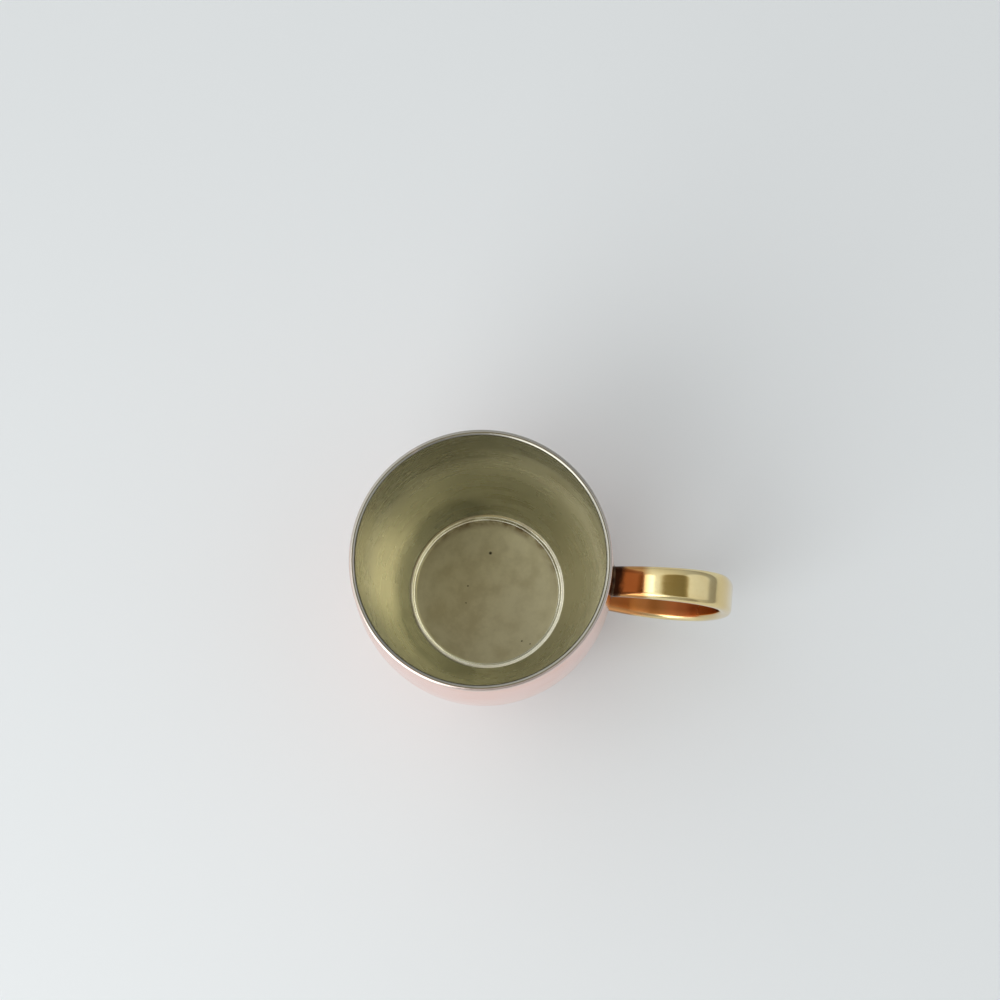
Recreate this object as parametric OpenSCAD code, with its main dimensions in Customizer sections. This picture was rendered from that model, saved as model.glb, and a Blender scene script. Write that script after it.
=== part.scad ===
// Barrel mug: a spun copper cup, tinned inside, with a brass strap handle brazed to its side.
// Millimetres. The mug stands on z = 0, centred on the Z axis, and its handle points along +X.

/* [Cup] */
// Overall height, from the table to the top of the rim
mug_height = 95; // [90:1:100]
// Radius over the rolled rim
rim_radius = 41; // [40:0.5:42]
// Radius of the barrel at its widest
belly_radius = 43.8; // [43:0.1:45]
// Height of the widest part of the barrel
belly_height = 48; // [44:1:54]
// Thickness of the copper sheet
sheet_thickness = 0.9; // [0.7:0.05:1.1]
// Diameter of the rolled rim, over its tin
rim_diameter = 2; // [1.8:0.1:2.4]

/* [Foot and base] */
// Outer radius of the foot
foot_radius = 29.5; // [28:0.5:31]
// Height of the straight wall of the foot
foot_height = 4.5; // [4:0.1:6]
// Width of the lip turned in under the base disc
foot_lip_width = 3; // [2:0.1:4]
// How far the run of solder stands in from the wall of the foot
solder_thickness = 0.7; // [0.5:0.1:0.9]
// How far the solder rises above the foot, where it meets the barrel
solder_rise = 0.8; // [0.6:0.1:1]

/* [Lining] */
// Thickness of the tin coat
lining_thickness = 0.15; // [0.1:0.05:0.25]

/* [Handle] */
// Height at which the middle of the strap leaves the cup
handle_height = 68; // [66:0.5:70]
// Radius of the strap's crest, just outside the cup
crest_bend = 35; // [33.5:0.5:36.5]
// Radius of the strap's outer shoulder
shoulder_bend = 16; // [15:0.5:17]
// Radius of the upright grip
grip_bend = 53; // [50:0.5:55]
// Radius of the strap's lower end, before it runs back to the cup
heel_bend = 19; // [18:0.5:20]
// Width of the strap at the cup
strap_width_at_cup = 10; // [9.4:0.1:10.6]
// Width of the strap at its outermost point
strap_width_at_grip = 11.8; // [11:0.1:12.4]
// Thickness of the strap
strap_thickness = 4.2; // [4:0.1:4.6]
// Radius of the strap's rounded edges
strap_edge_radius = 1.9; // [1.4:0.1:1.9]
// Size of the braze fillets where the strap meets the cup
braze_size = 0.8; // [0.5:0.1:1.2]

/* [Hidden] */

// Facets around each arc of the profile, around the cup, and around each rounded edge
arc_facets = 360;
turn_facets = 180;
edge_facets = 48;

// How far cutting shapes reach past what they cut
margin = 1;
// Depth below the barrel's outside to which the space inside it is solid
space_depth = 30;

// Rolled rim: its centre, and the copper inside its coat of tin
bead_radius = rim_diameter / 2;
bead_core_radius = bead_radius - lining_thickness;
bead_x = rim_radius - bead_radius;
bead_z = mug_height - bead_radius;
// How far the tin runs down the outside of the rim
rim_coat_drop = bead_radius / 2;

// The barrel's outside is two arcs that meet, upright, at the belly
neck_radius = rim_radius - rim_diameter + lining_thickness + sheet_thickness;
upper_arc_radius = arc_radius(bead_z - belly_height, belly_radius - neck_radius);
lower_arc_radius = arc_radius(belly_height - foot_height, belly_radius - foot_radius);

// Foot: the sheet drops straight down from the lower arc and turns in under the disc
foot_inner_radius = lower_arc_x(foot_height, sheet_thickness);
disc_top = 2 * sheet_thickness;

// Solder: a run that fills the corner from the disc to the barrel, with a ledge on top that
// slopes in towards the axis and a small fillet at the bottom
solder_fillet = 0.5;
ledge_drop = 0.2;
solder_top = foot_height + solder_rise;
solder_radius = foot_inner_radius - solder_thickness;
base_coat_radius = solder_radius - solder_fillet;

// Centre line of the strap, in the XZ plane. The strap points along run_ways[i] where bend i
// starts. Each way is two sides of a right triangle whose sides are whole numbers, over the
// third side, so every centre is a round number and neighbouring bends share one exact face.
run_ways = [[0.8, 0.6], [1, 0], [0.352, -0.936], [-0.352, -0.936], [-0.8, 0.6]];
bend_radii = [crest_bend, shoulder_bend, grip_bend, heel_bend];
strap_start = [round(10 * barrel_x(handle_height)) / 10, handle_height];
strap_end = bend_point(len(bend_radii));
// Straight tail from the last bend into the cup, and root of the first bend inside the cup
strap_tail = 16;
strap_root = 5;
collar_length = 20;
// Radius around the mug's axis at which the strap is as wide as its grip
grip_reach = 84;
plan_reach = 90;

// Radius of an arc that is upright at one end and moves aside by "shift" over "rise"
function arc_radius(rise, shift) = (rise * rise + shift * shift) / (2 * shift);

// Distance from the axis of a surface "depth" below the outside of each arc, at height z
function upper_arc_x(z, depth) =
    belly_radius - upper_arc_radius + sqrt(pow(upper_arc_radius - depth, 2) - pow(z - belly_height, 2));
function lower_arc_x(z, depth) =
    belly_radius - lower_arc_radius + sqrt(pow(lower_arc_radius - depth, 2) - pow(z - belly_height, 2));
function barrel_x(z) = z > belly_height ? upper_arc_x(z, 0) : lower_arc_x(z, 0);

// Direction from a bend's centre to its centre line, where the strap points along "way"
function outward(way) = [-way[1], way[0]];
// Point where bend i starts, and the centre of bend i
function bend_point(i) =
    i == 0 ? strap_start : bend_centre(i - 1) + bend_radii[i - 1] * outward(run_ways[i]);
function bend_centre(i) = bend_point(i) - bend_radii[i] * outward(run_ways[i]);

// Part of the barrel's wall between two depths below one arc, cut to a band of heights
module arc_band(radius, depth_0, depth_1, z_low, z_high) {
    intersection() {
        translate([belly_radius - radius, belly_height]) difference() {
            circle(r = radius - depth_0, $fn = arc_facets);
            circle(r = radius - depth_1, $fn = arc_facets);
        }
        translate([0, z_low]) square([belly_radius + 2 * margin, z_high - z_low]);
    }
}

// Profile of the wall between two depths below its outside, from the foot to the rim
module wall_profile(depth_0, depth_1) {
    arc_band(upper_arc_radius, depth_0, depth_1, belly_height, bead_z);
    arc_band(lower_arc_radius, depth_0, depth_1, foot_height, belly_height);
}

// Upright strip of a profile
module strip(x_low, x_high, z_low, z_high) {
    translate([x_low, z_low]) square([x_high - x_low, z_high - z_low]);
}

// The space inside the barrel's outside surface, grown outwards by "growth"
module barrel_space(growth) {
    rotate_extrude($fn = turn_facets) {
        arc_band(upper_arc_radius, -growth, space_depth, belly_height, bead_z);
        arc_band(lower_arc_radius, -growth, space_depth, foot_height, belly_height);
    }
}

// Cross-section of the strap: thickness along X, width along Y, with rounded edges
module strap_section(thickness, width, edge) {
    square([thickness, width - 2 * edge], center = true);
    square([thickness - 2 * edge, width], center = true);
    for (x = [-1, 1]) {
        for (y = [-1, 1]) {
            translate([x * (thickness / 2 - edge), y * (width / 2 - edge)])
                circle(r = edge, $fn = edge_facets);
        }
    }
}

// Turns a shape that stands on the XY plane to start at a point of the XZ plane and run along "way"
module along(point, way) {
    translate([point[0], 0, point[1]]) rotate([0, atan2(way[0], way[1]), 0]) children();
}

// Bend i of the strap: the part of a ring between the bend's two end faces
module strap_bend(i) {
    centre = bend_centre(i);
    from = outward(run_ways[i]);
    to = outward(run_ways[i + 1]);
    intersection() {
        translate([centre[0], 0, centre[1]]) rotate([90, 0, 0]) rotate_extrude($fn = turn_facets)
            translate([bend_radii[i], 0]) grip_section();
        translate([0, mug_height / 2, 0]) rotate([90, 0, 0]) linear_extrude(mug_height) polygon([
            centre,
            centre + mug_height * from,
            centre + mug_height * (from + to),
            centre + mug_height * to
        ]);
    }
}

// The strap at its full width, with a root at each end that reaches into the cup
module strap_run() {
    along(strap_start - strap_root * run_ways[0], run_ways[0]) linear_extrude(strap_root) grip_section();
    for (i = [0 : len(bend_radii) - 1]) strap_bend(i);
    along(strap_end, run_ways[len(bend_radii)]) linear_extrude(strap_tail) grip_section();
}

module grip_section() {
    strap_section(strap_thickness, strap_width_at_grip, strap_edge_radius);
}

// Plan of the strap: narrow at the cup and widest at the grip
module strap_plan() {
    slope = (strap_width_at_grip - strap_width_at_cup) / 2 / (grip_reach - belly_radius);
    half_at_axis = strap_width_at_cup / 2 - slope * belly_radius;
    half_at_reach = half_at_axis + slope * plan_reach;
    linear_extrude(mug_height) polygon([
        [0, -half_at_axis],
        [plan_reach, -half_at_reach],
        [plan_reach, half_at_reach],
        [0, half_at_axis]
    ]);
}

// Collar of braze around one end of the strap, hugging the cup
module braze_collar(point, way) {
    difference() {
        intersection() {
            barrel_space(braze_size);
            along(point, way) linear_extrude(collar_length, center = true) strap_section(
                strap_thickness + 2 * braze_size,
                strap_width_at_cup + 2 * braze_size,
                strap_edge_radius + braze_size
            );
        }
        barrel_space(0);
        tapered_strap();
    }
}

// The strap cut to its plan, before its ends are fitted to the cup
module tapered_strap() {
    intersection() {
        strap_run();
        strap_plan();
    }
}

module copper_body() {
    color("#b87355") rotate_extrude($fn = turn_facets) {
        wall_profile(0, sheet_thickness);
        translate([bead_x, bead_z]) circle(r = bead_core_radius, $fn = edge_facets);
        strip(foot_inner_radius, foot_radius, 0, foot_height);
        strip(foot_radius - foot_lip_width, foot_radius, 0, sheet_thickness);
    }
}

module base_disc() {
    color("#a9684c") translate([0, 0, sheet_thickness])
        cylinder(r = foot_inner_radius, h = disc_top - sheet_thickness, $fn = turn_facets);
}

module base_solder() {
    color("#8d8468") rotate_extrude($fn = turn_facets) intersection() {
        polygon([
            [base_coat_radius, disc_top],
            [belly_radius, disc_top],
            [belly_radius, solder_top],
            [foot_inner_radius, solder_top],
            [solder_radius, solder_top - ledge_drop],
            [solder_radius, disc_top + lining_thickness + solder_fillet],
            [base_coat_radius, disc_top + lining_thickness]
        ]);
        union() {
            strip(0, foot_inner_radius, disc_top, foot_height);
            arc_band(
                lower_arc_radius,
                sheet_thickness + lining_thickness,
                space_depth,
                foot_height,
                belly_height
            );
        }
    }
}

module wall_lining() {
    color("#9a957c") rotate_extrude($fn = turn_facets) {
        wall_profile(sheet_thickness, sheet_thickness + lining_thickness);
        rim_coat();
    }
}

// Tin over the top of the rolled rim, down its outside as far as rim_coat_drop
module rim_coat() {
    intersection() {
        translate([bead_x, bead_z]) difference() {
            circle(r = bead_radius, $fn = edge_facets);
            circle(r = bead_core_radius, $fn = edge_facets);
        }
        union() {
            strip(bead_x - rim_diameter, rim_radius + margin, bead_z, mug_height + margin);
            strip(bead_x, rim_radius + margin, bead_z - rim_coat_drop, bead_z);
        }
    }
}

module base_lining() {
    color("#857a5c") translate([0, 0, disc_top])
        cylinder(r = base_coat_radius, h = lining_thickness, $fn = turn_facets);
}

module handle() {
    color("#c9a64a") difference() {
        tapered_strap();
        barrel_space(0);
    }
}

module upper_braze() {
    color("#8a6a3a") braze_collar(strap_start, run_ways[0]);
}

module lower_braze() {
    way = run_ways[len(bend_radii)];
    color("#8a6a3a") braze_collar(strap_end + strap_tail * way, way);
}

copper_body();
base_disc();
base_solder();
wall_lining();
base_lining();
handle();
upper_braze();
lower_braze();
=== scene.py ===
"""A polished copper mug with a tinned inside and a brass strap handle, on a pale floor.

The CAD model gives every size. Each piece is rebuilt here as a smooth, dense mesh on the same surfaces,
a little uneven as hand work is. Streaks, pits, stains and heat tint come from the materials.
"""

import math

import bmesh
import bpy
from mathutils import Matrix, Vector, noise


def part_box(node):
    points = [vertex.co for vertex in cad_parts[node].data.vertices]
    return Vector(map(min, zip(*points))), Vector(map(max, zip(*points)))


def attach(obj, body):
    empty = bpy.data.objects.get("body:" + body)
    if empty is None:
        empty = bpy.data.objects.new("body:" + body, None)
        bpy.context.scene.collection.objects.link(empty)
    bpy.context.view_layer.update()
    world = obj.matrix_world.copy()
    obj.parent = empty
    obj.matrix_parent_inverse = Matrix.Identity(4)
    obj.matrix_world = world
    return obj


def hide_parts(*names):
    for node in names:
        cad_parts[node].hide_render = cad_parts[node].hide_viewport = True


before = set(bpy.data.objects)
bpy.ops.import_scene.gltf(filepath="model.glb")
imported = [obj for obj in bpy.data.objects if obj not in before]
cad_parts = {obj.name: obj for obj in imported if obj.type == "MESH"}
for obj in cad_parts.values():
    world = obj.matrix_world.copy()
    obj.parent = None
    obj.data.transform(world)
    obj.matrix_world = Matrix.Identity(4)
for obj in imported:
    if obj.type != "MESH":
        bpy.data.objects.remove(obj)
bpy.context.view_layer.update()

MM = 0.001

# ---------------------------------------------------------------- sizes
# The driving sizes of the CAD model. Those that its boxes give are read from them.
disc_low, disc_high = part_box("base_disc")
coat_low, coat_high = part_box("base_lining")
solder_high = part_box("base_solder")[1]

# Cup
MUG_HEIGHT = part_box("wall_lining")[1].z
BELLY_RADIUS = -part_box("copper_body")[0].x
BELLY_HEIGHT = 48 * MM
RIM_RADIUS = 41 * MM
RIM_DIAMETER = 2 * MM
FOOT_RADIUS = 29.5 * MM
FOOT_HEIGHT = 4.5 * MM
FOOT_LIP = 3 * MM
SHEET = disc_low.z
TIN = coat_high.z - coat_low.z
DISC_TOP = disc_high.z

# The rolled rim: a round bead of copper with tin over it
BEAD_RADIUS = RIM_DIAMETER / 2
BEAD_CORE_RADIUS = BEAD_RADIUS - TIN
BEAD_X = RIM_RADIUS - BEAD_RADIUS
BEAD_Z = MUG_HEIGHT - BEAD_RADIUS
NECK_RADIUS = RIM_RADIUS - RIM_DIAMETER + TIN + SHEET
# Where the tin thins out under the rim: its share of TIN, and the angle round the bead
TIN_TAPER = [(0.8, -21), (0.4, -27), (0, -30)]

# Solder round the base
SOLDER_TOP = solder_high.z
SOLDER_OUTER_RADIUS = solder_high.x
SOLDER_TOE_RADIUS = coat_high.x
SOLDER_FILLET = 0.5 * MM
SOLDER_RADIUS = SOLDER_TOE_RADIUS + SOLDER_FILLET
SOLDER_OVERLAP = 0.1 * MM
LEDGE_DROP = 0.2 * MM
LEDGE_ROUNDING = 0.25 * MM

# Roundings of the cup's foot and of the base
FOOT_ROUNDING = 0.8 * MM
LIP_ROUNDING = 0.25 * MM
EDGE_ROUNDING = 0.2 * MM
# The hollow corner where the barrel leaves the foot, and the room it takes below and above the foot's top
STEP_ROUNDING = 1.5 * MM
STEP_BELOW = 0.6 * MM
STEP_ABOVE = 1.2 * MM

# Handle: the strap's centre line lies in the XZ plane, as runs joined by bends
HANDLE_HEIGHT = 68 * MM
STRAP_START_X = 43.1 * MM
STRAP_WIDTH_AT_CUP = 10 * MM
STRAP_WIDTH_AT_GRIP = 11.8 * MM
GRIP_REACH = 84 * MM
STRAP_THICKNESS = 4.2 * MM
STRAP_EDGE = 1.9 * MM
STRAP_FAR_EDGE = 2.9 * MM
BEND_RADII = [35 * MM, 16 * MM, 53 * MM, 19 * MM]
RUN_WAYS = [(0.8, 0.6), (1, 0), (0.352, -0.936), (-0.352, -0.936), (-0.8, 0.6)]
# At the lower joint the cup's wall is this much nearer the axis than at the belly
LOWER_JOINT_INSET = 4 * MM
# How deep the strap's ends sink into the copper, and how near the wall its rings may come outside it
STRAP_SINK = 0.4 * MM
STRAP_CLEARANCE = 0.3 * MM
# How far off the wall each end's last outer ring stands
STRAP_HOVER_UPPER = 0.15 * MM
STRAP_HOVER_LOWER = 0.1 * MM

# The braze: how far it reaches from the corner, and how far it runs into the strap and into the cup
BRAZE_REACH = 0.8 * MM
BRAZE_INTO_STRAP = 0.12 * MM
BRAZE_INTO_CUP = 0.2 * MM
BRAZE_ROOT = 0.3 * MM

# Unevenness of hand work
OUT_OF_ROUND = 0.18 * MM
RIM_WAVE = 0.12 * MM
BASE_WAVE = 0.05 * MM
SOLDER_SWELL = 0.2 * MM
SOLDER_WIDE_SIDE = math.radians(-20)

# Resolution of the meshes
TURN_STEPS = 256
PROFILE_STEP = 0.8 * MM
CORNER_STEPS = 6
BEAD_STEPS = 40
PATH_STEP = 0.7 * MM
STRAP_CORNER_STEPS = 10
STRAP_FLAT_STEPS = 8
STRAP_TAIL_STEPS = 12
BRAZE_STEPS = 8
WELD_DISTANCE = 0.0001 * MM
TOP_TOLERANCE = 0.001 * MM


def arc_radius(rise, shift):
    """Radius of an arc that is upright at one end and moves aside by shift over rise."""
    return (rise * rise + shift * shift) / (2 * shift)


UPPER_ARC = arc_radius(BEAD_Z - BELLY_HEIGHT, BELLY_RADIUS - NECK_RADIUS)
LOWER_ARC = arc_radius(BELLY_HEIGHT - FOOT_HEIGHT, BELLY_RADIUS - FOOT_RADIUS)


def barrel_x(z, depth=0.0):
    """Distance from the axis, at height z, of the surface that lies depth below the barrel's outside."""
    radius = UPPER_ARC if z > BELLY_HEIGHT else LOWER_ARC
    return BELLY_RADIUS - radius + math.sqrt((radius - depth) ** 2 - (z - BELLY_HEIGHT) ** 2)


FOOT_INNER_RADIUS = barrel_x(FOOT_HEIGHT, SHEET)


# ---------------------------------------------------------------- outlines and meshes
def arc_points(centre, radius, start, end, steps):
    """Points along an arc, from angle start to angle end in degrees."""
    angles = [math.radians(start + (end - start) * i / steps) for i in range(steps + 1)]
    return [(centre[0] + radius * math.cos(a), centre[1] + radius * math.sin(a)) for a in angles]


def round_corner(before, corner, after, radius):
    """Points of an arc that rounds a corner, tangent to both of its sides."""
    corner = Vector(corner)
    side_a = (Vector(before) - corner).normalized()
    side_b = (Vector(after) - corner).normalized()
    half = side_a.angle(side_b) / 2
    reach = radius / math.tan(half)
    centre = corner + (side_a + side_b).normalized() * radius / math.sin(half)
    first = corner + side_a * reach - centre
    last = corner + side_b * reach - centre
    turn = first.angle_signed(last)
    points = []
    for i in range(CORNER_STEPS + 1):
        angle = -turn * i / CORNER_STEPS
        spun = Vector((
            first.x * math.cos(angle) - first.y * math.sin(angle),
            first.x * math.sin(angle) + first.y * math.cos(angle),
        ))
        points.append(tuple(centre + spun))
    return points


def wall_points(depth, z_low, z_high):
    """Points up the barrel's wall, depth below its outside."""
    steps = max(2, round((z_high - z_low) / PROFILE_STEP))
    heights = [z_low + (z_high - z_low) * i / steps for i in range(steps + 1)]
    return [(barrel_x(z, depth), z) for z in heights]


def line_points(start, end, step=PROFILE_STEP):
    """Points along a straight line, without its two ends."""
    count = max(1, round(math.dist(start, end) / step))
    return [
        (start[0] + (end[0] - start[0]) * i / count, start[1] + (end[1] - start[1]) * i / count)
        for i in range(1, count)
    ]


def mesh_object(name, verts, faces):
    """A smooth-shaded object whose normals point outwards."""
    mesh = bpy.data.meshes.new(name)
    mesh.from_pydata([tuple(v) for v in verts], [], faces)
    built = bmesh.new()
    built.from_mesh(mesh)
    bmesh.ops.remove_doubles(built, verts=built.verts, dist=WELD_DISTANCE)
    bmesh.ops.recalc_face_normals(built, faces=built.faces)
    built.to_mesh(mesh)
    built.free()
    mesh.shade_smooth()
    obj = bpy.data.objects.new(name, mesh)
    bpy.context.scene.collection.objects.link(obj)
    return obj


def lathe(name, outline, swell=None):
    """Turns a closed outline of (radius, height) points round the Z axis.

    swell(angle, index) is how far a point of the outline moves outwards, so that a piece can be uneven.
    """
    verts = []
    faces = []
    count = len(outline)
    for turn in range(TURN_STEPS):
        angle = 2 * math.pi * turn / TURN_STEPS
        for index, (radius, height) in enumerate(outline):
            if swell:
                radius += swell(angle, index)
            verts.append((radius * math.cos(angle), radius * math.sin(angle), height))
    for turn in range(TURN_STEPS):
        here = turn * count
        there = ((turn + 1) % TURN_STEPS) * count
        for index in range(count):
            after = (index + 1) % count
            starts_on_axis = outline[index][0] == 0
            ends_on_axis = outline[after][0] == 0
            if starts_on_axis and ends_on_axis:
                continue
            corners = [here + index, there + index, there + after, here + after]
            if starts_on_axis:
                corners = [here + index, there + after, here + after]
            elif ends_on_axis:
                corners = [here + index, there + index, here + after]
            faces.append(corners)
    return mesh_object(name, verts, faces)


def loft(name, rings, closed=False):
    """Joins rings of equal length side by side. An open loft is capped at both ends."""
    verts = [v for ring in rings for v in ring]
    count = len(rings[0])
    faces = []
    pairs = len(rings) if closed else len(rings) - 1
    for i in range(pairs):
        here = i * count
        there = ((i + 1) % len(rings)) * count
        for k in range(count):
            after = (k + 1) % count
            faces.append([here + k, here + after, there + after, there + k])
    if not closed:
        faces.append(list(range(count)))
        faces.append(list(range(len(verts) - count, len(verts))))
    return mesh_object(name, verts, faces)


# ---------------------------------------------------------------- shader shorthand
class Graph:
    """Shorthand for building a shader node tree. A value is a number, a colour or another node's socket."""

    def __init__(self, tree):
        self.tree = tree
        tree.nodes.clear()

    def node(self, kind, **settings):
        made = self.tree.nodes.new(kind)
        for key, value in settings.items():
            setattr(made, key, value)
        return made

    def feed(self, socket, value):
        """Links a socket to another, or sets its value."""
        if isinstance(value, bpy.types.NodeSocket):
            self.tree.links.new(value, socket)
        elif isinstance(value, tuple) and len(value) == 3 and socket.type == "RGBA":
            socket.default_value = (*value, 1)
        else:
            socket.default_value = value

    def math(self, operation, *values, clamp=False):
        made = self.node("ShaderNodeMath", operation=operation, use_clamp=clamp)
        for socket, value in zip(made.inputs, values):
            self.feed(socket, value)
        return made.outputs[0]

    def add(self, first, *others):
        for other in others:
            first = self.math("ADD", first, other)
        return first

    def subtract(self, first, second):
        return self.math("SUBTRACT", first, second)

    def multiply(self, first, *others):
        for other in others:
            first = self.math("MULTIPLY", first, other)
        return first

    def divide(self, first, second):
        return self.math("DIVIDE", first, second)

    def larger(self, first, second):
        return self.math("MAXIMUM", first, second)

    def absolute(self, value):
        return self.math("ABSOLUTE", value)

    def length(self, x, y):
        return self.math("SQRT", self.add(self.multiply(x, x), self.multiply(y, y)))

    def centred(self, pattern, width):
        """A pattern that runs from 0 to 1, moved and scaled to run width / 2 to either side of 0."""
        return self.multiply(self.subtract(pattern, 0.5), width)

    def vector(self, operation, *values):
        """A vector operation that gives a number."""
        made = self.node("ShaderNodeVectorMath", operation=operation)
        for socket, value in zip(made.inputs, values):
            self.feed(socket, value)
        return made.outputs["Value"]

    def combine(self, x, y, z):
        made = self.node("ShaderNodeCombineXYZ")
        for socket, value in zip(made.inputs, (x, y, z)):
            self.feed(socket, value)
        return made.outputs[0]

    def separate(self, vector):
        """The x, y and z of a vector."""
        made = self.node("ShaderNodeSeparateXYZ")
        self.feed(made.inputs[0], vector)
        return made.outputs[:3]

    def noise(self, vector, scale, detail=2.0, roughness=0.5):
        made = self.node("ShaderNodeTexNoise")
        self.feed(made.inputs["Vector"], vector)
        made.inputs["Scale"].default_value = scale
        made.inputs["Detail"].default_value = detail
        made.inputs["Roughness"].default_value = roughness
        return made.outputs[0]

    def range(self, value, start, end, low=0.0, high=1.0):
        """Runs smoothly from low to high as value goes from start to end, which may be the smaller one."""
        made = self.node("ShaderNodeMapRange", interpolation_type="SMOOTHSTEP")
        for socket, entry in zip(made.inputs, (value, start, end, low, high)):
            self.feed(socket, entry)
        return made.outputs[0]

    def mix(self, factor, a, b):
        """The colour a turned into b by factor."""
        made = self.node("ShaderNodeMix", data_type="RGBA")
        self.feed(made.inputs["Factor"], factor)
        self.feed(made.inputs[6], a)
        self.feed(made.inputs[7], b)
        return made.outputs[2]

    def bump(self, height, distance, normal=None):
        made = self.node("ShaderNodeBump")
        made.inputs["Strength"].default_value = 1.0
        made.inputs["Distance"].default_value = distance
        self.feed(made.inputs["Height"], height)
        if normal:
            self.feed(made.inputs["Normal"], normal)
        return made.outputs[0]


def new_material(name, metallic=1.0):
    """A material whose tree holds a Principled shader, with the graph to build the rest."""
    material = bpy.data.materials.new(name)
    material.use_nodes = True
    graph = Graph(material.node_tree)
    shader = graph.node("ShaderNodeBsdfPrincipled")
    shader.inputs["Metallic"].default_value = metallic
    out = graph.node("ShaderNodeOutputMaterial")
    graph.feed(out.inputs[0], shader.outputs[0])
    return material, graph, shader


def surface(graph, shader, colour, roughness, relief):
    """Feeds a Principled shader."""
    graph.feed(shader.inputs["Base Color"], colour)
    graph.feed(shader.inputs["Roughness"], roughness)
    graph.feed(shader.inputs["Normal"], relief)


def object_place(graph):
    return graph.node("ShaderNodeTexCoord").outputs["Object"]


def turned_coords(graph, place, around, along):
    """Seamless coordinates of a turned piece, for a pattern drawn out round it by around and along."""
    x, y, z = graph.separate(place)
    radius = graph.length(x, y)
    safe = graph.larger(radius, MM)
    return graph.combine(
        graph.multiply(graph.divide(x, safe), around),
        graph.multiply(graph.divide(y, safe), around),
        graph.multiply(graph.add(radius, z), along),
    )


# ---------------------------------------------------------------- copper
COPPER_LIGHT = (0.955, 0.637, 0.560)
COPPER_DARK = (0.930, 0.560, 0.450)
COPPER_BROWNED = (0.42, 0.20, 0.12)
COPPER_HEATED = (0.78, 0.36, 0.20)
# Heights over which the browning sets in towards the foot
BROWNED_HEIGHTS = (16 * MM, 2 * MM)
# The oval of heat tint round the handle's upper joint, on the cup's side towards the handle
HEAT_HEIGHT = 76 * MM
HEAT_HALF_WIDTH = 17 * MM
HEAT_HALF_HEIGHT = 24 * MM
HEAT_SIDE_X = (0.0, 20 * MM)


def heat_tint(graph, place, cloud):
    """How far the torch has tinted the cup: most by the upper joint, and not away from the handle."""
    x, y, z = graph.separate(place)
    sideways = graph.divide(y, HEAT_HALF_WIDTH)
    upwards = graph.divide(graph.subtract(z, HEAT_HEIGHT), HEAT_HALF_HEIGHT)
    spread = graph.add(graph.length(sideways, upwards), graph.centred(cloud, 0.8))
    return graph.multiply(graph.range(spread, 1.35, 0.25), graph.range(x, *HEAT_SIDE_X))


def copper_material(name, dullness):
    """Copper. dullness runs from 0, a polished outside, to 1, a dull hidden face."""
    material, graph, shader = new_material(name)
    place = object_place(graph)
    z = graph.separate(place)[2]
    lines = graph.noise(turned_coords(graph, place, 2.5, 1700), 1.0, 3)
    cloud = graph.noise(place, 45, 4, 0.6)
    speck = graph.noise(place, 700, 2)
    colour = graph.mix(graph.range(cloud, 0.35, 0.72), COPPER_LIGHT, COPPER_DARK)
    by_foot = graph.multiply(graph.range(z, *BROWNED_HEIGHTS), graph.range(cloud, 0.3, 0.6, 0.4, 1.0))
    colour = graph.mix(graph.multiply(by_foot, 0.35 + 0.4 * dullness), colour, COPPER_BROWNED)
    colour = graph.mix(graph.multiply(heat_tint(graph, place, cloud), 0.8), colour, COPPER_HEATED)
    tone = graph.add(graph.multiply(lines, 0.6), graph.multiply(cloud, 0.4))
    rough = graph.range(tone, 0.3, 0.7, 0.10 + 0.25 * dullness, 0.19 + 0.35 * dullness)
    relief = graph.bump(lines, 0.004 * MM)
    relief = graph.bump(speck, 0.004 * MM, normal=relief)
    surface(graph, shader, colour, rough, relief)
    return material


# ---------------------------------------------------------------- tin and solder
TIN_STAIN = (0.16, 0.09, 0.035)
TIN_ROUGH_LOW = 0.20
TIN_ROUGH_HIGH = 0.34

WALL_DARK = (0.65, 0.633, 0.505)
WALL_LIGHT = (0.80, 0.780, 0.620)
WALL_PAINTED_LIGHT = (0.94, 0.905, 0.75)
WALL_PAINTED_SHADE = (0.33, 0.33, 0.25)
# Where the painted shade and the painted light set in: along x or y, or over heights
SHADED_LEFT_X = (8 * MM, -16 * MM)
SHADED_FOOT_HEIGHTS = (19 * MM, 10 * MM)
SHADED_TOP_HEIGHTS = (50 * MM, 64 * MM)
SHADED_FAR_Y = (2 * MM, 30 * MM)
BRIGHT_HANDLE_X = (4 * MM, 26 * MM)
BRIGHT_NEAR_Y = (16 * MM, -14 * MM)
BRIGHT_OPPOSITE_X = (-10 * MM, -24 * MM)
WALL_MIDDLE_Y = 2 * MM
WALL_REACH = 40 * MM

RIM_INSIDE = (0.43, 0.41, 0.35)
RIM_SILVER = (0.49, 0.46, 0.405)
RIM_WORN = (0.80, 0.65, 0.59)
# Heights over which the wall's colour turns into the rim's, and over which the rim's crown begins
RIM_HEIGHTS = (92.3 * MM, 93.4 * MM)
CROWN_HEIGHTS = (94.2 * MM, 94.8 * MM)
# Distances from the axis over which the rim turns silver, and over which it is worn through
SILVER_RADII = (39.3 * MM, 40.1 * MM)
WORN_RADII = (40.25 * MM, 40.8 * MM)

BASE_DARK = (0.61, 0.565, 0.40)
BASE_LIGHT = (0.74, 0.69, 0.50)
BASE_SHADED = (0.40, 0.365, 0.265)
PIT_BLACK = (0.045, 0.035, 0.02)
PIT_RAGGEDNESS = 0.5 * MM
# Where the base gets darker towards the handle, and where its edge is browned at the far side
SHADED_HANDLE_X = (-2 * MM, 26 * MM)
BROWNED_RADII = (23.5 * MM, 27 * MM)
BROWNED_FAR_Y = (-2 * MM, 24 * MM)
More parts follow.
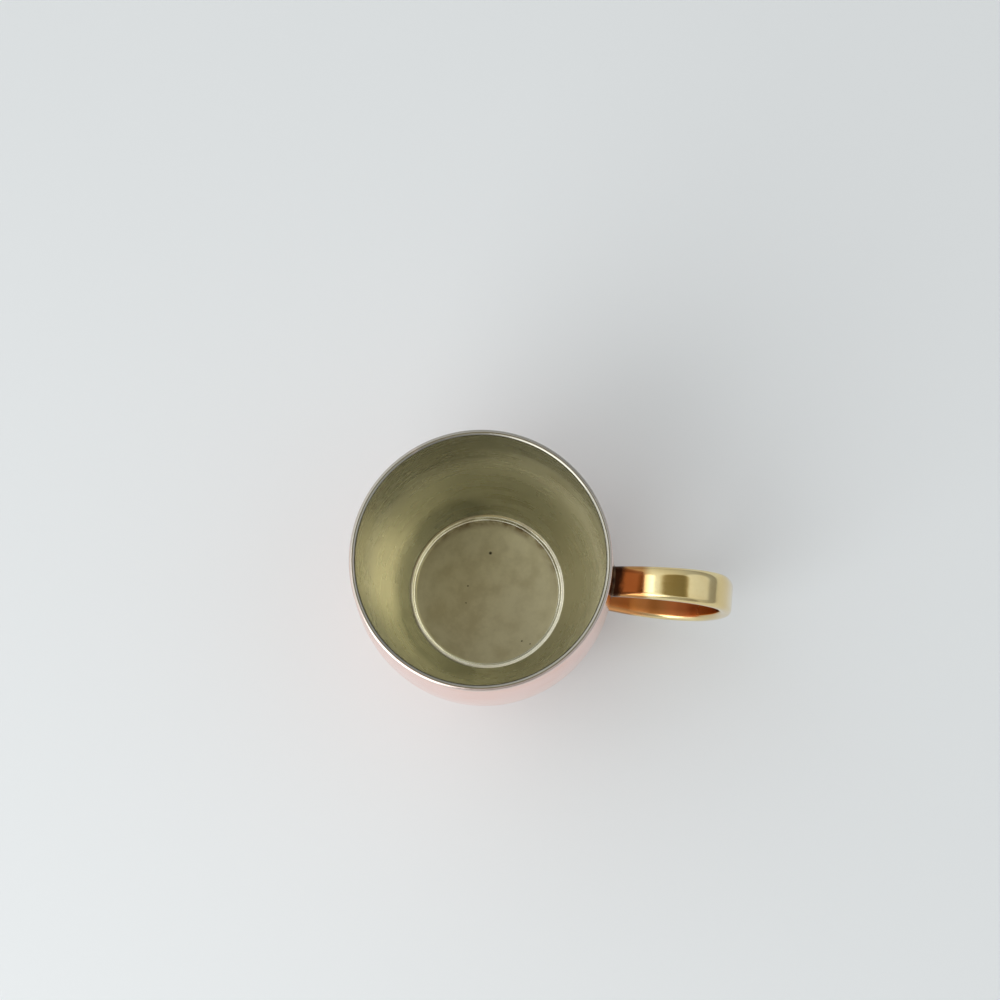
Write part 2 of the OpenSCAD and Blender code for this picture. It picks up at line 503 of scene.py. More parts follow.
# Pits in the base: x and y of the middle, and the radius, in mm
BASE_PITS = [
    (-0.16, 14.6, 0.8),
    (-7.4, 1.4, 0.45),
    (-7.5, -5.0, 0.4),
    (14.7, -17.2, 0.4),
    (17.8, -18.0, 0.35),
]

SOLDER_LIGHT = (0.97, 0.95, 0.82)
SOLDER_DARK = (0.92, 0.88, 0.72)
SOLDER_PAINTED_SHADE = (0.36, 0.34, 0.26)
# Where the solder is stained at the far side, and where painted shade darkens it: against the wall, opposite
# the handle
STAINED_FAR_Y = (4 * MM, 24 * MM)
SHADED_WALL_RADII = (28.25 * MM, 28.45 * MM)
SHADED_OPPOSITE_X = (8 * MM, -12 * MM)


class TinPatterns:
    """The marks of wiping on tin: wide bands, clouds and fine lines, and the tone they make together."""

    def __init__(self, graph, place, cloud_scale, weights):
        self.graph = graph
        self.bands = graph.noise(turned_coords(graph, place, 1.1, 220), 1.0, 3, 0.5)
        self.cloud = graph.noise(place, cloud_scale, 4, 0.6)
        self.lines = graph.noise(turned_coords(graph, place, 1.6, 900), 1.0, 3, 0.55)
        patterns = (self.bands, self.cloud, self.lines)
        self.tone = graph.add(*[graph.multiply(p, weight) for p, weight in zip(patterns, weights)])

    def roughness(self):
        return self.graph.range(self.tone, 0.3, 0.7, TIN_ROUGH_LOW, TIN_ROUGH_HIGH)

    def relief(self, cloud_depth, band_depth, line_depth):
        normal = self.graph.bump(self.cloud, cloud_depth)
        normal = self.graph.bump(self.bands, band_depth, normal=normal)
        return self.graph.bump(self.lines, line_depth, normal=normal)


def off_centre(graph, y):
    """How far to either side of the cup's middle a place is, from 0 to about 1 at the wall."""
    return graph.divide(graph.absolute(graph.subtract(y, WALL_MIDDLE_Y)), WALL_REACH)


def wall_painted_shade(graph, place, cloud):
    """Painted shade on the wall: low down and at the sides of its left half, and high up at the far side."""
    x, y, z = graph.separate(place)
    left = graph.range(x, *SHADED_LEFT_X)
    uneven_height = graph.add(z, graph.multiply(cloud, 4 * MM))
    by_foot = graph.multiply(graph.range(uneven_height, *SHADED_FOOT_HEIGHTS), 0.85)
    at_sides = graph.multiply(graph.range(off_centre(graph, y), 0.22, 0.6), 0.66)
    left_half = graph.math("MULTIPLY", left, graph.add(by_foot, at_sides), clamp=True)
    high_up = graph.range(z, *SHADED_TOP_HEIGHTS, 0.0, 0.75)
    far_side = graph.multiply(graph.range(y, *SHADED_FAR_Y), high_up)
    return graph.larger(left_half, far_side)


def wall_painted_light(graph, place):
    """Painted light on the wall: brightest by the handle, and along the middle of the opposite side."""
    x, y, _ = graph.separate(place)
    near = graph.range(y, *BRIGHT_NEAR_Y, 0.6, 1.0)
    by_handle = graph.multiply(graph.range(x, *BRIGHT_HANDLE_X), near)
    middle = graph.range(off_centre(graph, y), 0.40, 0.12)
    opposite = graph.multiply(graph.range(x, *BRIGHT_OPPOSITE_X), middle)
    return graph.larger(by_handle, graph.multiply(opposite, 0.5))


def rim_wear(graph, place, cloud, rim):
    """Where the rim's tin is rubbed through to copper: round its outer edge and in patches on top."""
    x, y, z = graph.separate(place)
    rubbed = graph.add(graph.length(x, y), graph.centred(cloud, 0.7 * MM))
    rubbed = graph.subtract(rubbed, graph.multiply(y, 0.012))
    edge = graph.multiply(rim, graph.range(rubbed, *WORN_RADII))
    spots = graph.range(graph.noise(place, 38, 3), 0.60, 0.72)
    crown = graph.multiply(graph.range(z, *CROWN_HEIGHTS), spots)
    return graph.larger(edge, graph.multiply(crown, 0.7))


def wall_tin_material():
    """The wiped tin of the wall, khaki and satin, with painted light and painted shade, and of the rim, silver
    and worn.
    """
    material, graph, shader = new_material("tin_wall")
    place = object_place(graph)
    x, y, z = graph.separate(place)
    marks = TinPatterns(graph, place, 55, (0.45, 0.45, 0.1))
    colour = graph.mix(graph.range(marks.tone, 0.34, 0.66), WALL_DARK, WALL_LIGHT)
    # Painted light: the wall made brighter by the handle and along the middle of the opposite side
    colour = graph.mix(wall_painted_light(graph, place), colour, WALL_PAINTED_LIGHT)
    # Painted shade: the wall made darker low down and at the sides of its left half, and high up at the far
    # side
    colour = graph.mix(wall_painted_shade(graph, place, marks.cloud), colour, WALL_PAINTED_SHADE)
    rim = graph.range(z, *RIM_HEIGHTS)
    outwards = graph.range(graph.length(x, y), *SILVER_RADII)
    colour = graph.mix(rim, colour, graph.mix(outwards, RIM_INSIDE, RIM_SILVER))
    colour = graph.mix(rim_wear(graph, place, marks.cloud, rim), colour, RIM_WORN)
    rough = graph.subtract(marks.roughness(), graph.multiply(rim, 0.08))
    surface(graph, shader, colour, rough, marks.relief(0.25 * MM, 0.05 * MM, 0.005 * MM))
    return material


def base_pits(graph, place):
    """Small ragged pits, at BASE_PITS."""
    x, y, _ = graph.separate(place)
    flat = graph.combine(x, y, 0.0)
    ragged = graph.centred(graph.noise(place, 1500, 2), PIT_RAGGEDNESS)
    pits = 0.0
    for pit_x, pit_y, radius in BASE_PITS:
        gap = graph.add(graph.vector("DISTANCE", flat, (pit_x * MM, pit_y * MM, 0.0)), ragged)
        pits = graph.larger(pits, graph.range(gap, radius * MM, 0.3 * radius * MM))
    return pits


def base_tin_material():
    """The wiped tin of the base: dull khaki clouds, with a browned far edge and a few pits."""
    material, graph, shader = new_material("tin_base")
    place = object_place(graph)
    x, y, _ = graph.separate(place)
    marks = TinPatterns(graph, place, 160, (0.1, 0.8, 0.1))
    colour = graph.mix(graph.range(marks.tone, 0.34, 0.66), BASE_DARK, BASE_LIGHT)
    by_handle = graph.range(x, *SHADED_HANDLE_X)
    colour = graph.mix(graph.multiply(by_handle, 0.3), colour, BASE_SHADED)
    edge = graph.range(graph.length(x, y), *BROWNED_RADII)
    far_side = graph.range(graph.add(y, graph.multiply(x, 0.15)), *BROWNED_FAR_Y)
    brown = graph.multiply(edge, far_side, graph.range(marks.cloud, 0.3, 0.6))
    colour = graph.mix(graph.multiply(brown, 0.85), colour, TIN_STAIN)
    pits = base_pits(graph, place)
    colour = graph.mix(graph.multiply(pits, 0.85), colour, PIT_BLACK)
    rough = graph.math("ADD", graph.add(marks.roughness(), 0.12), graph.multiply(pits, 0.4), clamp=True)
    surface(graph, shader, colour, rough, marks.relief(0.02 * MM, 0.01 * MM, 0.002 * MM))
    return material


def solder_material():
    """Bright soft solder round the base, a little browned at the far side, and darkened by painted shade
    against the wall.
    """
    material, graph, shader = new_material("solder_bright")
    place = object_place(graph)
    x, y, _ = graph.separate(place)
    cloud = graph.noise(place, 90, 3)
    fine = graph.noise(place, 800, 2)
    far_side = graph.range(graph.add(y, graph.multiply(x, 0.3)), *STAINED_FAR_Y)
    stain = graph.multiply(far_side, graph.range(cloud, 0.4, 0.62))
    colour = graph.mix(graph.range(cloud, 0.35, 0.65), SOLDER_LIGHT, SOLDER_DARK)
    colour = graph.mix(graph.multiply(stain, 0.3), colour, TIN_STAIN)
    # Painted shade: the outer edge of the solder, against the wall opposite the handle, made darker
    by_wall = graph.range(graph.length(x, y), *SHADED_WALL_RADII)
    dull = graph.multiply(by_wall, graph.range(x, *SHADED_OPPOSITE_X))
    colour = graph.mix(graph.multiply(dull, 0.8), colour, SOLDER_PAINTED_SHADE)
    relief = graph.bump(cloud, 0.04 * MM)
    relief = graph.bump(fine, 0.01 * MM, normal=relief)
    surface(graph, shader, colour, graph.range(cloud, 0.3, 0.7, 0.13, 0.26), relief)
    return material


# ---------------------------------------------------------------- brass and braze
BRASS_LIGHT = (0.90, 0.76, 0.42)
BRASS_DARK = (0.84, 0.66, 0.32)
BRASS_HANDLED = (0.76, 0.61, 0.33)
BRASS_COPPER_REFLECTION = (0.44, 0.19, 0.052)
BRASS_LOOP_REFLECTION = (0.90, 0.41, 0.145)
BRASS_SHADED = (0.52, 0.215, 0.07)
BRASS_SCALE_AND_SHADE = (0.055, 0.03, 0.018)
# Where the strap's look changes along x: darker at the grip, and towards the cup a painted reflection of the
# copper, then torch scale darkened with painted shade
HANDLED_X = (76 * MM, 80 * MM)
COPPER_REFLECTION_X = (55.5 * MM, 51.5 * MM)
SCALE_AND_SHADE_X = (46.9 * MM, 44.3 * MM)
SCALE_AND_SHADE_HEIGHTS = (40 * MM, 50 * MM)
# The inside of the loop: heights of the lower arm, where its edges join in, and its shaded far side
LOWER_ARM_HEIGHTS = (46 * MM, 38 * MM)
LOOP_EDGE_X = (64 * MM, 54 * MM)
LOOP_SHADED_Y = (-5 * MM, -1.5 * MM)
BRAZE_DARK = (0.05, 0.03, 0.02)
BRAZE_LIGHT = (0.20, 0.12, 0.065)


def inside_of_loop(graph, place):
    """The lower arm's upward face, and near the cup its edges too. A polishing wheel hardly gets there, so it
    is rougher; its colour there is a painted reflection of the copper, with painted shade towards the far
    side.
    """
    x, _, z = graph.separate(place)
    _, normal_y, normal_z = graph.separate(graph.node("ShaderNodeTexCoord").outputs["Normal"])
    lower_arm = graph.multiply(graph.range(normal_z, 0.25, 0.6), graph.range(z, *LOWER_ARM_HEIGHTS))
    tilt = graph.absolute(normal_y)
    face = graph.range(tilt, 0.55, 0.2)
    edge = graph.multiply(graph.range(tilt, 0.97, 0.8), graph.range(x, *LOOP_EDGE_X))
    return graph.multiply(lower_arm, graph.larger(face, edge))


def scale_and_shade_by_joint(graph, place):
    """Torch scale on the strap at the upper joint, darkened to near black by painted shade in the corner
    against the cup.
    """
    x, y, z = graph.separate(place)
    patchy = graph.add(x, graph.centred(graph.noise(place, 260, 3), 3.5 * MM))
    patchy = graph.subtract(patchy, graph.multiply(y, 0.16))
    near_cup = graph.range(patchy, *SCALE_AND_SHADE_X)
    return graph.multiply(near_cup, graph.range(z, *SCALE_AND_SHADE_HEIGHTS))


def brass_material():
    """Polished cast brass: darker at the grip, with a painted reflection of the copper cup near it, and
    rougher inside the loop, where painted reflection and painted shade colour it.
    """
    material, graph, shader = new_material("brass_polished")
    place = object_place(graph)
    x, y, z = graph.separate(place)
    cloud = graph.noise(place, 70, 4, 0.55)
    along = graph.combine(graph.multiply(x, 60), graph.multiply(y, 1500), graph.multiply(z, 60))
    lines = graph.noise(along, 1.0, 3)
    colour = graph.mix(graph.range(cloud, 0.35, 0.7), BRASS_LIGHT, BRASS_DARK)
    handled = graph.range(x, *HANDLED_X)
    colour = graph.mix(graph.multiply(handled, 0.8), colour, BRASS_HANDLED)
    # Painted reflection of the copper cup on the strap, from the cup out to about 55 mm
    copper_reflection = graph.range(graph.add(x, graph.centred(cloud, 4 * MM)), *COPPER_REFLECTION_X)
    colour = graph.mix(graph.multiply(copper_reflection, 0.9), colour, BRASS_COPPER_REFLECTION)
    loop = inside_of_loop(graph, place)
    # Painted reflection of the copper inside the loop, darker with painted shade towards the far side
    loop_reflection_and_shade = graph.mix(graph.range(y, *LOOP_SHADED_Y), BRASS_LOOP_REFLECTION, BRASS_SHADED)
    colour = graph.mix(loop, colour, loop_reflection_and_shade)
    # Torch scale with painted shade: the strap by the upper joint made near black
    scale_and_shade = scale_and_shade_by_joint(graph, place)
    colour = graph.mix(scale_and_shade, colour, BRASS_SCALE_AND_SHADE)
    tone = graph.add(graph.multiply(lines, 0.5), graph.multiply(cloud, 0.5))
    dull = graph.larger(graph.multiply(scale_and_shade, 0.25), graph.multiply(loop, 0.22))
    rough = graph.add(graph.range(tone, 0.3, 0.7, 0.07, 0.16), dull)
    relief = graph.bump(lines, 0.003 * MM)
    relief = graph.bump(graph.noise(place, 120, 2), 0.05 * MM, normal=relief)
    surface(graph, shader, colour, rough, relief)
    return material


def braze_material():
    """The brazed joint: rough alloy gone dark with heat."""
    material, graph, shader = new_material("braze_dark", metallic=0.85)
    cloud = graph.noise(object_place(graph), 350, 4, 0.6)
    colour = graph.mix(graph.range(cloud, 0.35, 0.65), BRAZE_DARK, BRAZE_LIGHT)
    rough = graph.range(cloud, 0.3, 0.7, 0.55, 0.3)
    surface(graph, shader, colour, rough, graph.bump(cloud, 0.25 * MM))
    return material


# ---------------------------------------------------------------- the cup and its base
def finish_piece(obj, material, node):
    """Gives a piece its material, hangs it under the root body, and hides the CAD node whose place it takes.
    """
    obj.data.materials.append(material)
    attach(obj, "root")
    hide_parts(node)
    return obj


def ripple(spot):
    """Smooth noise at a place, from about 0 to about 1."""
    return 0.5 + 0.5 * noise.noise(spot)


def unevenness(obj):
    """Takes the machine look off the cup: its wall is a little out of round and its rim a little wavy."""
    for vertex in obj.data.vertices:
        place = vertex.co
        radius = math.hypot(place.x, place.y)
        share = place.z / MUG_HEIGHT
        way = Vector((place.x / radius, place.y / radius, share))
        inward = OUT_OF_ROUND * share * ripple(way * 1.3)
        down = RIM_WAVE * share ** 6 * ripple(way * 2.1 + Vector((7, 3, 1)))
        place.x -= inward * place.x / radius
        place.y -= inward * place.y / radius
        place.z -= down
    return obj


def copper_body():
    """The spun cup: the lip turned in under the base, the foot, the barrel and the rolled rim's core."""
    lip = FOOT_RADIUS - FOOT_LIP
    foot_top = (FOOT_RADIUS, FOOT_HEIGHT)
    outside = wall_points(0, FOOT_HEIGHT, BEAD_Z - BEAD_CORE_RADIUS)
    outside = [p for p in outside if p[1] > FOOT_HEIGHT + STEP_ABOVE]
    inside = wall_points(SHEET, FOOT_HEIGHT, BEAD_Z)
    outline = round_corner((lip, SHEET), (lip, 0), (FOOT_RADIUS, 0), LIP_ROUNDING)
    outline += line_points((lip, 0), (FOOT_RADIUS - FOOT_ROUNDING - 0.1 * MM, 0))
    outline += round_corner((lip, 0), (FOOT_RADIUS, 0), foot_top, FOOT_ROUNDING)
    outline += line_points((FOOT_RADIUS, FOOT_ROUNDING), (FOOT_RADIUS, FOOT_HEIGHT - STEP_BELOW))
    outline += round_corner((FOOT_RADIUS, 0), foot_top, outside[0], STEP_ROUNDING)
    outline += outside
    outline += arc_points((BEAD_X, BEAD_Z), BEAD_CORE_RADIUS, -80, 180, BEAD_STEPS)
    outline += inside[-2:0:-1]
    outline.append((FOOT_INNER_RADIUS, FOOT_HEIGHT))
    outline += line_points((FOOT_INNER_RADIUS, FOOT_HEIGHT), (FOOT_INNER_RADIUS, SHEET))
    outline.append((FOOT_INNER_RADIUS, SHEET))
    outline += round_corner((FOOT_INNER_RADIUS, SHEET), (lip, SHEET), (lip, 0), EDGE_ROUNDING)
    return unevenness(lathe("copper_cup", outline))


def wall_lining():
    """The tin on the wall, carried over the rim, where it thins out underneath."""
    bead = (BEAD_X, BEAD_Z)
    outline = wall_points(SHEET + TIN, FOOT_HEIGHT, BEAD_Z)[:-1]
    outline += arc_points(bead, BEAD_RADIUS, 180, -14, BEAD_STEPS)
    for share, angle in TIN_TAPER:
        outline += arc_points(bead, BEAD_CORE_RADIUS + TIN * share, angle, angle, 1)[:1]
    outline += arc_points(bead, BEAD_CORE_RADIUS, -24, 180, BEAD_STEPS - 4)
    outline += wall_points(SHEET, FOOT_HEIGHT, BEAD_Z)[-2::-1]
    return unevenness(lathe("tin_wall", outline))


def base_disc():
    """The copper disc laid on the lip from inside."""
    radius = disc_high.x
    bottom = disc_low.z
    outline = [(0, bottom)]
    outline += line_points((0, bottom), (radius - 0.3 * MM, bottom), 1.5 * MM)
    outline += round_corner((0, bottom), (radius, bottom), (radius, DISC_TOP), EDGE_ROUNDING)
    outline += round_corner((radius, bottom), (radius, DISC_TOP), (0, DISC_TOP), EDGE_ROUNDING)
    outline.append((0, DISC_TOP))
    return lathe("copper_base", outline)


def base_lining():
    """The tin on the disc, with a slightly wavy top."""
    radius = coat_high.x
    bottom = coat_low.z
    top = coat_high.z
    outline = [(0, bottom)]
    outline += line_points((0, bottom), (radius, bottom), 2 * MM)
    outline += [(radius, bottom), (radius, top)]
    outline += line_points((radius, top), (0, top), MM)
    outline.append((0, top))
    lining = lathe("tin_base", outline)
    for vertex in lining.data.vertices:
        if vertex.co.z > top - TOP_TOLERANCE:
            spot = Vector((vertex.co.x, vertex.co.y, 0))
            vertex.co.z -= BASE_WAVE * ripple(spot * 95)
    return lining


def base_solder():
    """The run of solder round the base, up to the ledge where the barrel starts, and wider on one side."""
    base = coat_high.z
    toe_radius = SOLDER_TOE_RADIUS - SOLDER_OVERLAP
    fillet = SOLDER_FILLET + SOLDER_OVERLAP
    lip = (SOLDER_RADIUS, SOLDER_TOP - LEDGE_DROP)
    ledge_end = (SOLDER_OUTER_RADIUS, SOLDER_TOP)
    barrel = wall_points(SHEET + TIN, FOOT_HEIGHT, SOLDER_TOP)[::-1]
    outline = [(toe_radius, base)]
    outline += arc_points((toe_radius, base + fillet), fillet, -82, -4, 8)
    outline += line_points((SOLDER_RADIUS, base + SOLDER_FILLET), lip, 0.4 * MM)
    outline += round_corner((SOLDER_RADIUS, base), lip, ledge_end, LEDGE_ROUNDING)
    inner = len(outline)
    outline += line_points(lip, ledge_end, 0.12 * MM)[2:]
    outline.append(ledge_end)
    outline += [p for p in barrel if p[1] < SOLDER_TOP - 0.1 * MM]
    outline.append((FOOT_INNER_RADIUS, FOOT_HEIGHT))
    outline.append((FOOT_INNER_RADIUS, DISC_TOP))
    outline.append((SOLDER_TOE_RADIUS, DISC_TOP))

    def swell(angle, index):
        """The inner side moves as a whole, the ledge less and less, and the hidden side not at all."""
        ease = min(1, max(0, 1 - (index - inner + 1) / 5))
        spot = Vector((math.cos(angle), math.sin(angle), 0))
        wide = 0.5 + 0.5 * math.cos(angle - SOLDER_WIDE_SIDE)
        uneven = 0.35 * noise.noise(spot * 3) + 0.25 * noise.noise(spot * 11)
        return -SOLDER_SWELL * (wide + uneven) * ease

    return lathe("solder_ring", outline, swell)


# ---------------------------------------------------------------- the handle and its joints
def strap_path():
    """Places and headings along the strap's centre line, PATH_STEP apart, from the cup and back to it."""
    place = Vector((STRAP_START_X, HANDLE_HEIGHT))
    ways = [Vector(way) for way in RUN_WAYS]
    path = []
    for radius, way, after in zip(BEND_RADII, ways, ways[1:]):
        centre = place + radius * Vector((way.y, -way.x))
        turn = way.angle(after)
        steps = max(8, round(turn * radius / PATH_STEP))
        for i in range(steps):
            angle = turn * i / steps
            heading = Vector((
                way.x * math.cos(angle) + way.y * math.sin(angle),
                -way.x * math.sin(angle) + way.y * math.cos(angle),
            ))
            path.append((centre - radius * Vector((heading.y, -heading.x)), heading))
        place = centre - radius * Vector((after.y, -after.x))
    path.append((place, ways[-1]))
    return path


def strap_width(x):
    """The strap widens evenly from the cup to the grip."""
    share = (x - BELLY_RADIUS) / (GRIP_REACH - BELLY_RADIUS)
    return STRAP_WIDTH_AT_CUP + (STRAP_WIDTH_AT_GRIP - STRAP_WIDTH_AT_CUP) * share


def strap_ends():
    """The strap's upper and lower end: each its place, its heading and its width at the cup."""
    path = strap_path()
    upper = (*path[0], strap_width(BELLY_RADIUS))
    lower = (*path[-1], strap_width(BELLY_RADIUS - LOWER_JOINT_INSET))
    return upper, lower


def strap_section(width, grow=0.0):
    """The strap's outline, as (sideways, outwards) pairs. Its far upper edge is rounded more widely."""
    half_thickness = STRAP_THICKNESS / 2 - STRAP_EDGE
    points = []
    for side, face, start in ((1, 1, 0), (-1, 1, 90), (-1, -1, 180), (1, -1, 270)):
        edge = STRAP_FAR_EDGE if (side, face) == (1, 1) else STRAP_EDGE
        half_width = width / 2 - edge
        for u, v in arc_points((0, 0), 1, start, start + 90, STRAP_CORNER_STEPS):
            sideways = side * half_width + (edge + grow) * u
            outwards = face * half_thickness + (STRAP_EDGE + grow) * v
            points.append((sideways, outwards))
        if side == face:
            sideways, outwards = points[-1]
            shares = [1 - 2 * i / STRAP_FLAT_STEPS for i in range(1, STRAP_FLAT_STEPS)]
            points += [(sideways * share, outwards) for share in shares]
    return points


def strap_ring(place, heading, width, grow=0.0):
    """The strap's outline, set square to its heading at a place on the centre line."""
    out = Vector((-heading.y, heading.x))
    return [
        Vector((place.x + outwards * out.x, sideways, place.y + outwards * out.y))
        for sideways, outwards in strap_section(width, grow)
    ]


def onto_cup(point, heading, depth):
    """Slides a point along a heading until it is depth below the barrel's outside."""
    way = Vector((heading.x, 0, heading.y))

    def outside(slide):
        spot = point + way * slide
        return math.hypot(spot.x, spot.y) - barrel_x(spot.z, depth)

    inner, outer = -8 * MM, 20 * MM
    if outside(inner) > outside(outer):
        inner, outer = outer, inner
    for _ in range(40):
        middle = (inner + outer) / 2
        if outside(middle) > 0:
            outer = middle
        else:
            inner = middle
    return point + way * inner


def clear_of_cup(ring):
    return all(math.hypot(p.x, p.y) > barrel_x(p.z, -STRAP_CLEARANCE) for p in ring)


def handle():
    """The brass strap, with both ends shaped to the barrel and sunk a little into it."""
    (start, leaving, upper_width), (end, arriving, lower_width) = strap_ends()
    root = strap_ring(start, leaving, upper_width)
    rings = [[onto_cup(p, leaving, depth) for p in root] for depth in (STRAP_SINK, -STRAP_HOVER_UPPER)]
    for place, heading in strap_path():
        ring = strap_ring(place, heading, strap_width(place.x))
        if clear_of_cup(ring):
            rings.append(ring)
    last_ring = strap_ring(end, arriving, strap_width(end.x))
    tail = strap_ring(end, arriving, lower_width)
    touching = [onto_cup(p, arriving, 0) for p in tail]
    for i in range(1, STRAP_TAIL_STEPS):
        rings.append([a.lerp(b, i / STRAP_TAIL_STEPS) for a, b in zip(last_ring, touching)])
    for depth in (-STRAP_HOVER_LOWER, STRAP_SINK):
        rings.append([onto_cup(p, arriving, depth) for p in tail])
    return loft("brass_handle", rings)


def braze(name, place, heading, width):
    """A hollow fillet where the strap meets the cup, as uneven as one run by hand."""
    away = Vector((heading.x, 0, heading.y)) * math.copysign(1, heading.x)
    core = strap_ring(place, heading, width)
    proud = strap_ring(place, heading, width, BRAZE_REACH)
    rings = []
    for inner, outer in zip(core, proud):
        side = outer - inner
        size = 0.75 + 0.25 * noise.noise(inner * 420)
        corner = onto_cup(inner, heading, 0)
        on_strap = corner + away * BRAZE_REACH * size
        on_cup = onto_cup(inner + side * size, heading, 0)
        pull = corner.lerp((on_strap + on_cup) / 2, 0.25)
        ring = []
        for i in range(BRAZE_STEPS + 1):
            t = i / BRAZE_STEPS
            ring.append(on_strap * (1 - t) ** 2 + pull * 2 * t * (1 - t) + on_cup * t * t)
        into_strap = side.normalized() * BRAZE_INTO_STRAP
        ring.append(onto_cup(inner + side * size * 0.6, heading, BRAZE_INTO_CUP))
        ring.append(onto_cup(inner - into_strap, heading, BRAZE_ROOT))
        ring.append(on_strap - into_strap)
        rings.append(ring)
    return loft(name, rings, closed=True)


# ---------------------------------------------------------------- camera
# Its frame is turned from the mug's own, so that the handle lies as it does in the picture.
TURN_TO_HANDLE = math.radians(9.62)
CAMERA_PLACE = Vector((7.305, -58.519, 520.705)) * MM
CAMERA_PITCH = math.radians(10.158)
CAMERA_ROLL = math.radians(-4.168)
spin = Matrix.Rotation(TURN_TO_HANDLE, 4, "Z")


def turned(direction):
    """A direction of the camera's frame in the mug's frame, as a plain tuple of length 1."""
    return tuple((spin @ Vector(direction)).normalized())


def build_camera():
    """A 50 mm lens that looks down into the mug."""
    data = bpy.data.cameras.new("camera")
    data.lens = 50
    data.sensor_width = 36
    data.clip_start = 0.01
    data.clip_end = 50
    camera = bpy.data.objects.new("camera", data)
    look = Matrix.Rotation(CAMERA_PITCH, 4, "X") @ Matrix.Rotation(CAMERA_ROLL, 4, "Z")
    camera.matrix_world = spin @ Matrix.Translation(CAMERA_PLACE) @ look
    bpy.context.scene.collection.objects.link(camera)
    bpy.context.scene.camera = camera


# ---------------------------------------------------------------- light
# Directions are in the camera's frame: x to the right of the picture, y to its top and z up.
# A patch of the room is round: its direction, the cosines at its edge and its core, and its level.
ROOM_WAY = (-1, -0.25, 0)
ROOM_RIGHT = 0.39
ROOM_LEFT = 1.17
ROOM_HORIZON = 0.80
ROOM_TINT_RIGHT = (0.95, 0.985, 1.02)
ROOM_TINT_LEFT = (0.975, 1.0, 1.0)
WINDOW = ((-0.52, -0.10, 0.80), 0.94, 0.985, 0.3)
GLOW = ((0.68, 0.03, 0.73), 0.85, 0.94, 0.32)
LAMP = ((-0.44, 0.17, 0.88), 0.992, 0.997, 1.2)
TORSO = ((0.0, -0.87, 0.50), 0.84, 0.92, 0.45)
# The viewer overhead, across and up the picture: the middle, and the reach to either side of it
VIEWER_ACROSS = ((1, 0, 0), 0.02, 0.26, 0.36)
VIEWER_UP = ((0, 1, 0), 0.0, 0.40, 0.34)
VIEWER_TINT = (1.0, 0.84, 0.45)
VIEWER_LEVEL = 0.30
KEY_PLACE = Vector((-0.62, -0.62, 0.60))
KEY_AIM = Vector((0, 0, 0.04))
KEY_SIZE = (0.8, 1.0)
KEY_POWER = 4.1
KEY_COLOUR = (0.99, 1.0, 1.0)


def build_key_light():
    """The soft window light that gives the mug its faint shadow."""
    data = bpy.data.lights.new("key", "AREA")
    data.shape = "RECTANGLE"
    data.size, data.size_y = KEY_SIZE
    data.energy = KEY_POWER
    data.color = KEY_COLOUR
    lamp = bpy.data.objects.new("key", data)
    lamp.location = spin @ KEY_PLACE
    lamp.rotation_euler = (spin @ KEY_AIM - lamp.location).to_track_quat("-Z", "Y").to_euler()
    bpy.context.scene.collection.objects.link(lamp)


def room_patch(graph, way, patch, outside, inside):
    """Goes from one level to another, from the edge to the core of a round patch of the room."""
    direction, edge, core, _ = patch
    toward = graph.vector("DOT_PRODUCT", way, turned(direction))
    return graph.range(toward, edge, core, outside, inside)


def viewer_shape(graph, way):
    """1 where the viewer is, who stands over the mug, and 0 in the rest of the room."""
    offsets = []
    for axis, middle, before, after in (VIEWER_ACROSS, VIEWER_UP):
        offset = graph.subtract(graph.vector("DOT_PRODUCT", way, turned(axis)), middle)
        offsets.append(graph.larger(graph.divide(offset, after), graph.divide(offset, -before)))
    overhead = graph.range(graph.separate(way)[2], 0.3, 0.5)
    return graph.multiply(graph.range(graph.length(*offsets), 1.2, 0.8), overhead)


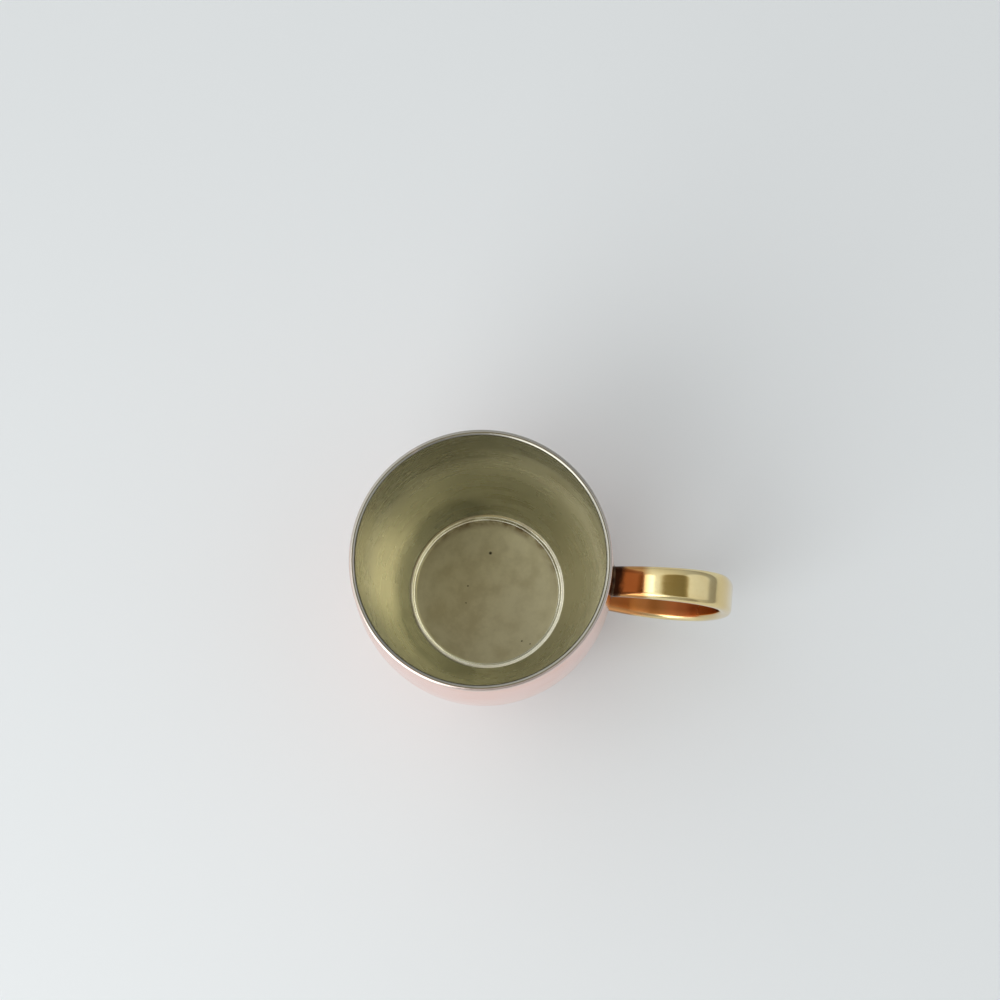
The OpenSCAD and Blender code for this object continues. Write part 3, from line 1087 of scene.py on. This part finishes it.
def build_world():
    """A white room, brighter to the left of the picture and dimmer to the right.

    A window, a glow and a lamp brighten it. The viewer darkens it overhead, and their torso darkens it towards
    the bottom of the picture.
    """
    world = bpy.data.worlds.new("room")
    world.use_nodes = True
    bpy.context.scene.world = world
    graph = Graph(world.node_tree)
    way = graph.node("ShaderNodeTexCoord").outputs["Generated"]
    across = graph.vector("DOT_PRODUCT", way, turned(ROOM_WAY))
    level = graph.range(across, -0.9, 0.9, ROOM_RIGHT, ROOM_LEFT)
    level = graph.multiply(level, graph.range(graph.separate(way)[2], 0.0, 0.5, ROOM_HORIZON, 1.0))
    for patch in (WINDOW, GLOW, LAMP):
        level = graph.add(level, room_patch(graph, way, patch, 0.0, patch[3]))
    level = graph.multiply(level, room_patch(graph, way, TORSO, 1.0, TORSO[3]))
    viewer = viewer_shape(graph, way)
    level = graph.multiply(level, graph.subtract(1.0, graph.multiply(viewer, 1 - VIEWER_LEVEL)))
    tint = graph.mix(graph.range(across, -0.6, 0.6), ROOM_TINT_RIGHT, ROOM_TINT_LEFT)
    back = graph.node("ShaderNodeBackground")
    graph.feed(back.inputs["Color"], graph.mix(viewer, tint, VIEWER_TINT))
    graph.feed(back.inputs["Strength"], level)
    out = graph.node("ShaderNodeOutputWorld")
    graph.feed(out.inputs[0], back.outputs[0])


# ---------------------------------------------------------------- floor
FLOOR_REACH = 4.0
FLOOR_DROP = 0.02 * MM
FLOOR_LIGHT = (0.845, 0.865, 0.88)
FLOOR_DARK = (0.83, 0.85, 0.865)


def floor_material():
    """A pale, slightly glossy surface."""
    material, graph, shader = new_material("floor_pale", metallic=0.0)
    place = object_place(graph)
    cloud = graph.noise(place, 3, 3)
    grain = graph.noise(place, 900, 2)
    rough = graph.range(grain, 0.3, 0.7, 0.45, 0.55)
    surface(graph, shader, graph.mix(cloud, FLOOR_LIGHT, FLOOR_DARK), rough, graph.bump(grain, 0.005 * MM))
    return material


def build_floor():
    """One wide square, a hair below the mug's foot."""
    corners = [(FLOOR_REACH * x, FLOOR_REACH * y, 0) for x, y in ((-1, -1), (1, -1), (1, 1), (-1, 1))]
    mesh = bpy.data.meshes.new("floor")
    mesh.from_pydata(corners, [], [(0, 1, 2, 3)])
    floor = bpy.data.objects.new("floor", mesh)
    floor.location.z = -FLOOR_DROP
    floor.data.materials.append(floor_material())
    bpy.context.scene.collection.objects.link(floor)


# ---------------------------------------------------------------- the scene
def build_mug():
    """The eight pieces, each in the place of its CAD node."""
    joint = braze_material()
    upper_end, lower_end = strap_ends()
    finish_piece(copper_body(), copper_material("copper_polished", 0.0), "copper_body")
    finish_piece(base_disc(), copper_material("copper_dull", 1.0), "base_disc")
    finish_piece(wall_lining(), wall_tin_material(), "wall_lining")
    finish_piece(base_lining(), base_tin_material(), "base_lining")
    finish_piece(base_solder(), solder_material(), "base_solder")
    finish_piece(handle(), brass_material(), "handle")
    finish_piece(braze("braze_upper", *upper_end), joint, "upper_braze")
    finish_piece(braze("braze_lower", *lower_end), joint, "lower_braze")


build_camera()
build_world()
build_key_light()
bpy.context.scene.view_settings.view_transform = "Standard"
bpy.context.scene.view_settings.look = "None"
build_floor()
build_mug()
